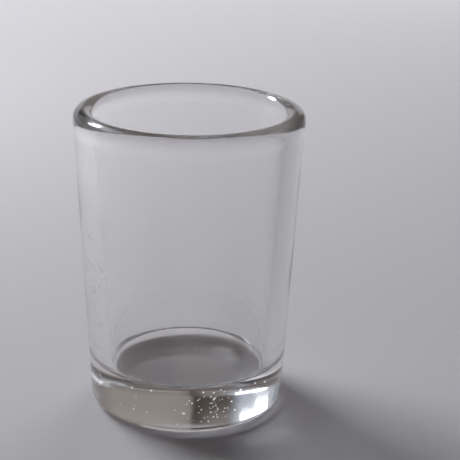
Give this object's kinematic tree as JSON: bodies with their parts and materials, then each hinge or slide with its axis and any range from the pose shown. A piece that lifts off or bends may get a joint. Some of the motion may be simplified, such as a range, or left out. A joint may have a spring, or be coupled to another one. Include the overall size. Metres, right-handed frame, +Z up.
{
  "type": "drinking glass",
  "caption": "Small thick-walled clear drinking glass, straight sides tapering to a heavy solid foot with a bevelled, rounded edge, and a fire-polished lip.",
  "frame": {"origin": "centre of the ring that the glass stands on, in the standing plane", "axes": "+Z up along the glass's axis of revolution; the glass is round, so X and Y are free"},
  "size_m": [0.0444, 0.0444, 0.06],
  "materials": {
    "clear_glass": "pressed and fire-polished clear soda-lime glass"
  },
  "bodies": {
    "root": {"tumbler": "clear_glass"}
  },
  "joints": []
}
